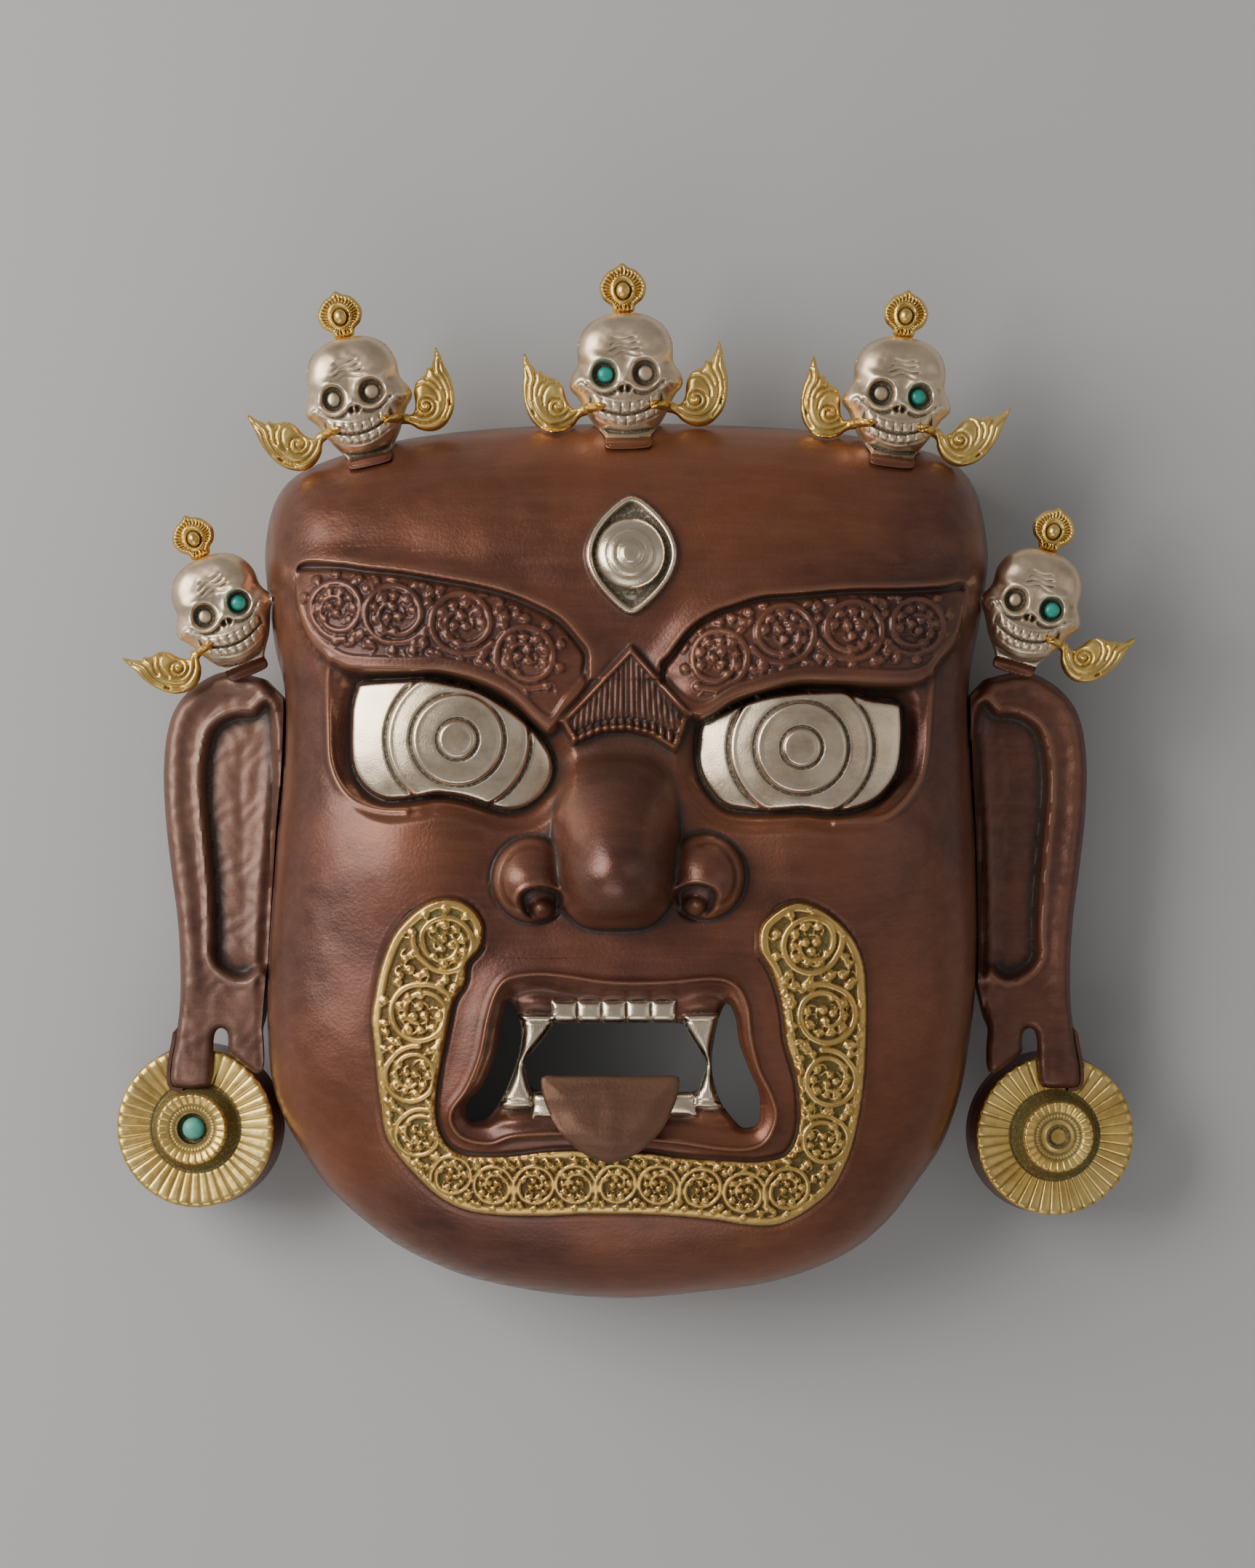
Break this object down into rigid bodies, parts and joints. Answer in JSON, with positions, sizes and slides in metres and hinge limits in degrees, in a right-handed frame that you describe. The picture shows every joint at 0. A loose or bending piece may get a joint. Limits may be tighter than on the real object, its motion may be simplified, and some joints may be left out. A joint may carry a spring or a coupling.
{
  "type": "bhairab mask",
  "caption": "Wrathful deity mask in pressed copper: open mouth with fangs and tongue, silver skull crown, flame ornaments, ears with flower discs, hollow behind.",
  "frame": {"origin": "centre of the bounding box on the plane of the back rim", "axes": "+Z out of the face from the back rim to the nose, +Y from chin to crown, +X to the viewer's right; the mask lies face up"},
  "size_m": [0.367, 0.3699, 0.1221],
  "materials": {
    "copper": "aged red-brown copper patina, lightly hammered, satin",
    "gilt": "worn gilding with green verdigris in the recesses",
    "silver": "warm worn silver, darkened in the recesses",
    "turquoise": "polished turquoise stone"
  },
  "bodies": {
    "root": {"face_shell": "copper", "tongue": "copper", "ear_left": "copper", "ear_right": "copper", "ear_disc_left": "gilt", "ear_disc_right": "gilt", "bead_ear_disc": "turquoise", "skull_top_left": "silver", "skull_top_middle": "silver", "skull_top_right": "silver", "skull_side_left": "silver", "skull_side_right": "silver", "crest_top_left": "gilt", "crest_top_middle": "gilt", "crest_top_right": "gilt", "crest_side_left": "gilt", "crest_side_right": "gilt", "flame_top_left_left": "gilt", "flame_top_left_right": "gilt", "flame_top_middle_left": "gilt", "flame_top_middle_right": "gilt", "flame_top_right_left": "gilt", "flame_top_right_right": "gilt", "flame_side_left": "gilt", "flame_side_right": "gilt", "bead_top_middle": "turquoise", "bead_top_right": "turquoise", "bead_side_left": "turquoise", "bead_side_right": "turquoise"}
  },
  "joints": []
}
